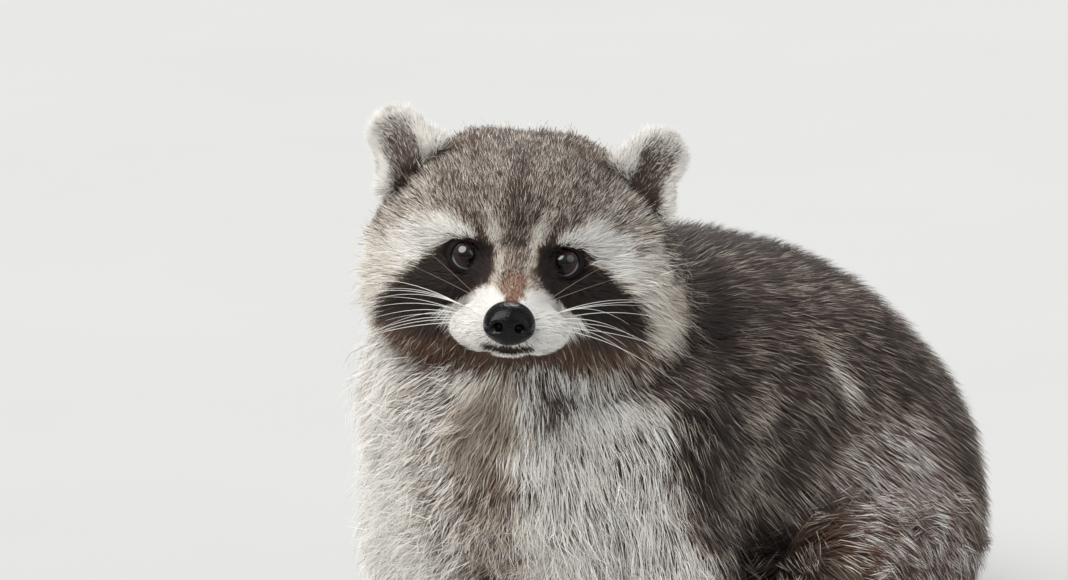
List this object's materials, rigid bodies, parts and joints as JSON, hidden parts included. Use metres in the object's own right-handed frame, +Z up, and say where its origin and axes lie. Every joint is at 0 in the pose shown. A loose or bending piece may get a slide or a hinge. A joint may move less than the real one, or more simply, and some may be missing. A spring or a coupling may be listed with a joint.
{
  "type": "raccoon",
  "caption": "Life-size still model of an adult raccoon that sits on its haunches on the floor, head turned to its left, back rounded and ringed tail curled behind.",
  "frame": {"origin": "on the floor, under the middle of the box round the whole animal", "axes": "-Y is the way the chest faces and +Y the way of the tail, +X is the animal's left side, +Z is up"},
  "size_m": [0.3746, 0.571, 0.328],
  "materials": {
    "coat_grey": "soft matte fur, grey-brown with dark bases and pale bands on the hairs",
    "coat_dark": "soft matte fur, brown-black",
    "coat_pale": "soft matte fur, pale grey to cream",
    "coat_white": "short dense white fur and whiskers",
    "eye": "wet, clear and very glossy, dark brown",
    "nose": "damp black skin with a fine grain",
    "claw": "smooth dark horn"
  },
  "bodies": {
    "root": {"ear_left": "coat_pale", "ear_right": "coat_pale", "eye_left": "eye", "eye_right": "eye", "nose": "nose", "muzzle": "coat_white", "head": "coat_grey", "neck": "coat_grey", "forepaw_left": "coat_pale", "forepaw_right": "coat_pale", "hindfoot_left": "coat_pale", "hindfoot_right": "coat_pale", "foreleg_left": "coat_grey", "foreleg_right": "coat_grey", "thigh_left": "coat_grey", "thigh_right": "coat_grey", "tail_1": "coat_grey", "tail_2": "coat_dark", "tail_3": "coat_grey", "tail_4": "coat_dark", "chest": "coat_pale", "trunk": "coat_grey"}
  },
  "joints": []
}
